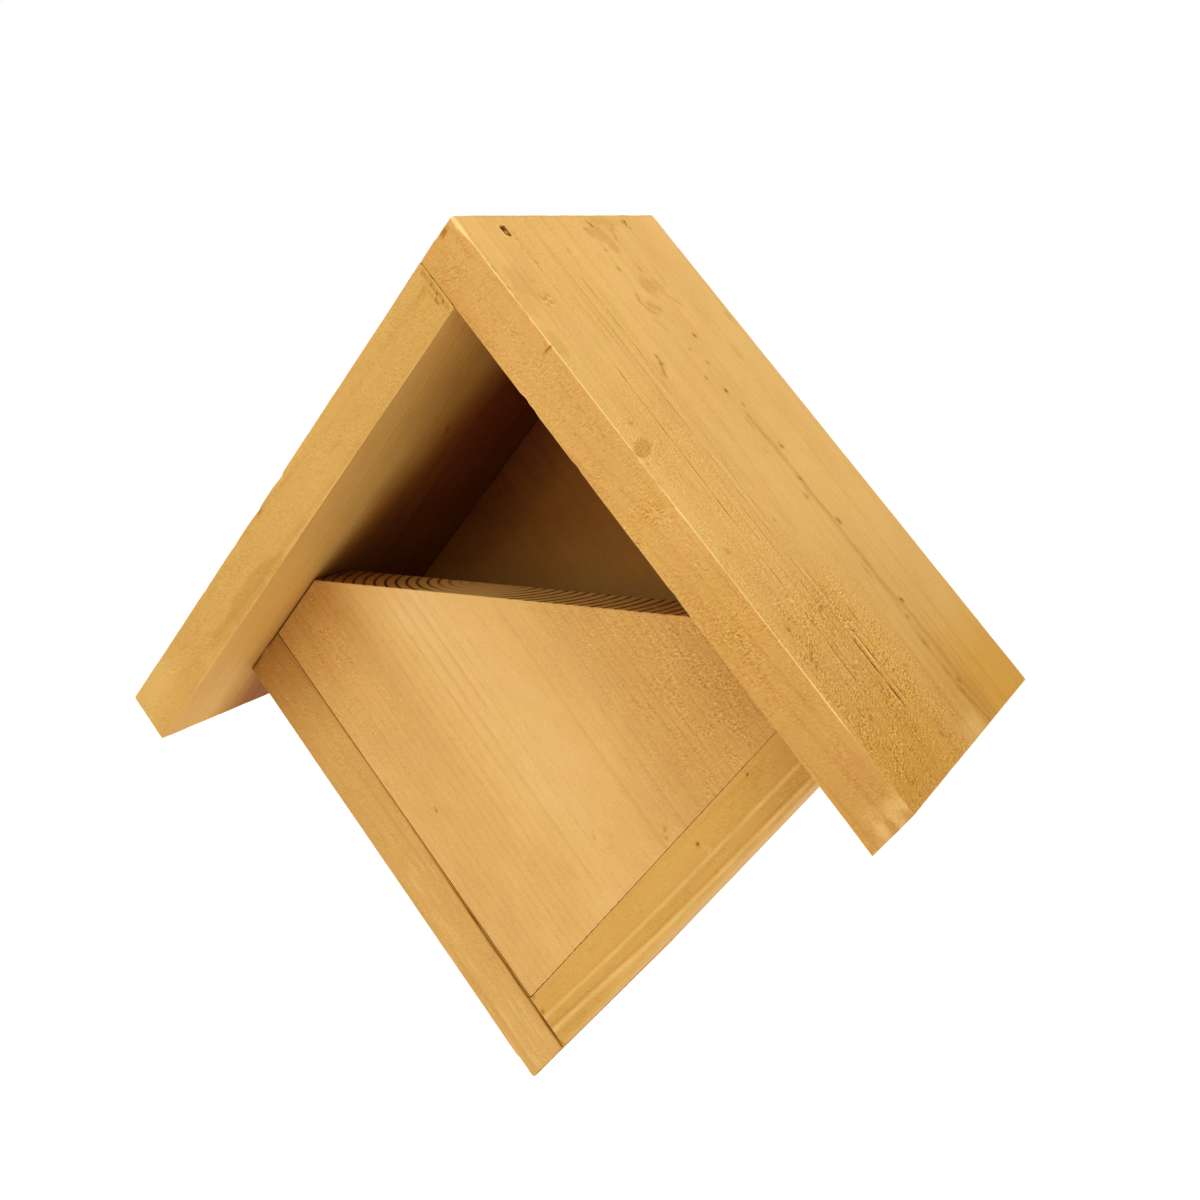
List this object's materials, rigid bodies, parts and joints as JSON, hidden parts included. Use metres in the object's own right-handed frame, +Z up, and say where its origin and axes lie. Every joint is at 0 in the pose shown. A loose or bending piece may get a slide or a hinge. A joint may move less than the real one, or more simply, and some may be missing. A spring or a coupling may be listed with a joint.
{
  "type": "robin nest box",
  "caption": "Open-fronted wooden nest box, a square box standing on its corner under two roof boards, hung by a hole through its back panel.",
  "frame": {"origin": "the hanging hole's mouth on the back plane, where the wall is", "axes": "+Z up, +Y into the wall, +X to the right seen from the front"},
  "size_m": [0.2833, 0.14, 0.2927],
  "materials": {
    "roof_wood": "honey stain, sanded softwood",
    "side_wood": "honey stain, sanded softwood",
    "panel_wood": "honey stain, sanded softwood",
    "brad_steel": "bright wire, stained over"
  },
  "bodies": {
    "root": {"roof_board_right": "roof_wood", "roof_board_left": "roof_wood", "side_board_left": "side_wood", "side_board_right": "side_wood", "front_panel": "panel_wood", "back_panel": "panel_wood", "ridge_brads": "brad_steel", "eaves_brads": "brad_steel", "bottom_corner_brads": "brad_steel", "front_panel_brads": "brad_steel", "back_panel_brads": "brad_steel"}
  },
  "joints": []
}
